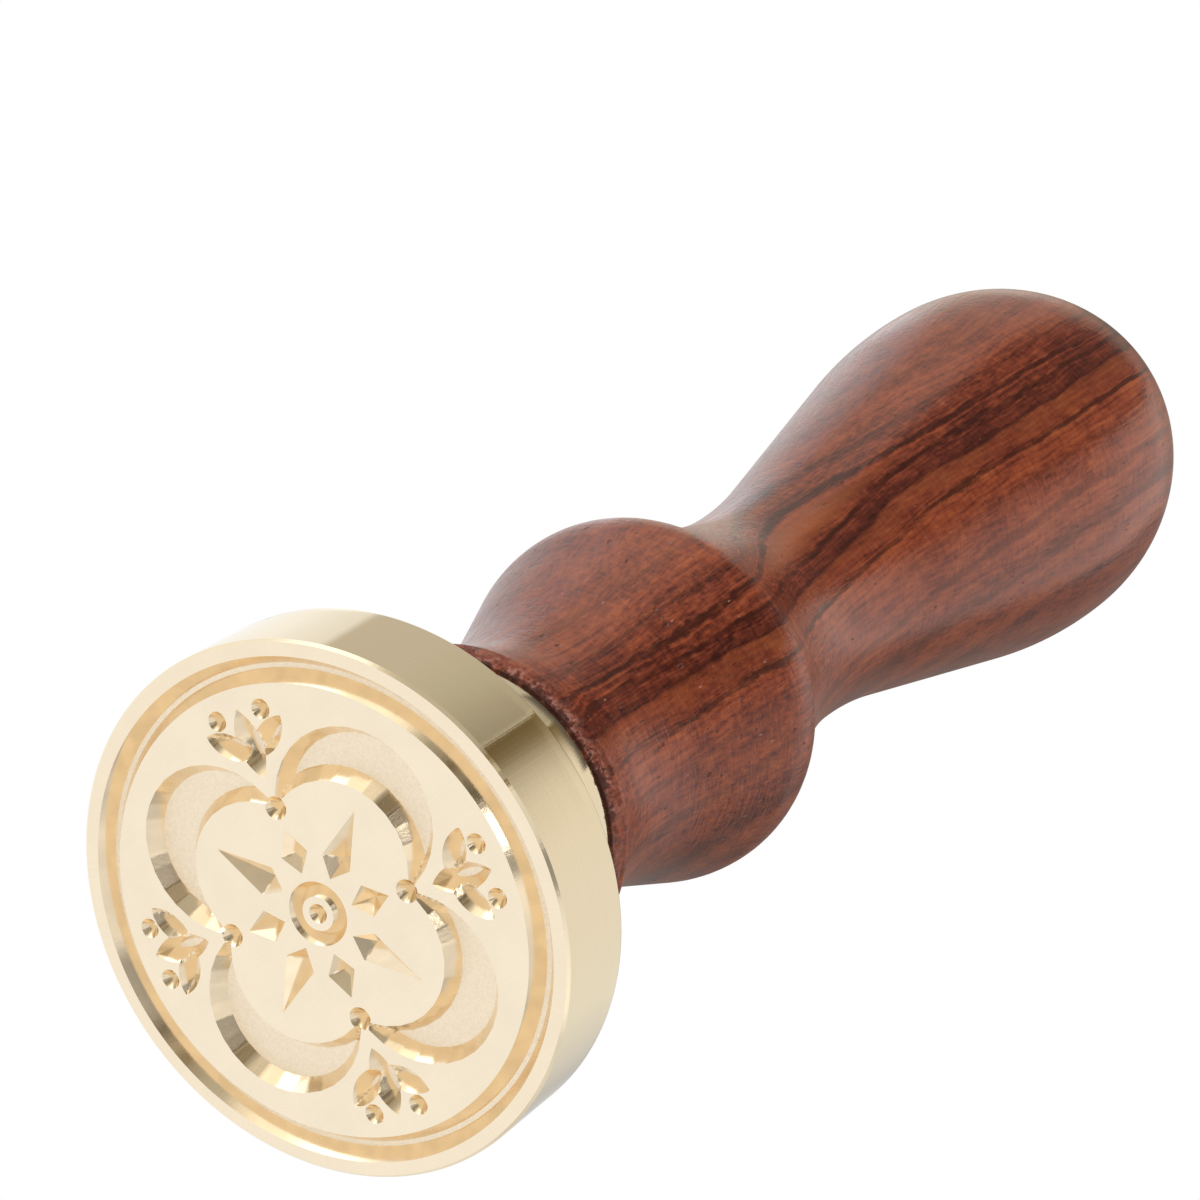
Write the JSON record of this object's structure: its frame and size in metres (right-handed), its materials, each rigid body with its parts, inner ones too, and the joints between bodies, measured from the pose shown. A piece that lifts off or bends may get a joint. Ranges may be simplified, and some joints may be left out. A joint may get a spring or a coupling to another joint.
{
  "type": "wax seal stamp",
  "caption": "Hand stamp for sealing wax: an engraved round brass seal head on a boss, screwed by a stud to a turned rosewood handle with a ball, a slim neck and a pear-shaped grip.",
  "frame": {"origin": "centre of the seal face, at the bottom of the stamp as it stands on its seal", "axes": "+Z along the axis from the seal face up to the rounded end of the handle; +X through the tip of one lobe of the engraving"},
  "size_m": [0.025, 0.025, 0.09],
  "materials": {
    "brass": "turned and lightly brushed pale brass, bright in the cut walls and frosted on the cut floors",
    "plated_steel": "zinc plated",
    "rosewood": "satin varnish over dark-streaked red-brown grain"
  },
  "bodies": {
    "head": {"seal_head": "brass"},
    "stud": {"threaded_stud": "plated_steel"},
    "handle": {"handle": "rosewood"}
  },
  "joints": [
    {"name": "stud_lift", "type": "slide", "parent": "head", "child": "stud", "axis": [0, 0, 1], "range_m": [0, 0.0076]},
    {"name": "handle_unscrew", "type": "hinge", "parent": "stud", "child": "handle", "pos_m": [0, 0, 0.0124], "axis": [0, 0, 1], "range_deg": [0, 2160]}
  ],
  "couplings": [
    {"joint": "stud_lift", "follows": "handle_unscrew", "m_per_rad": 0.00019894}
  ]
}
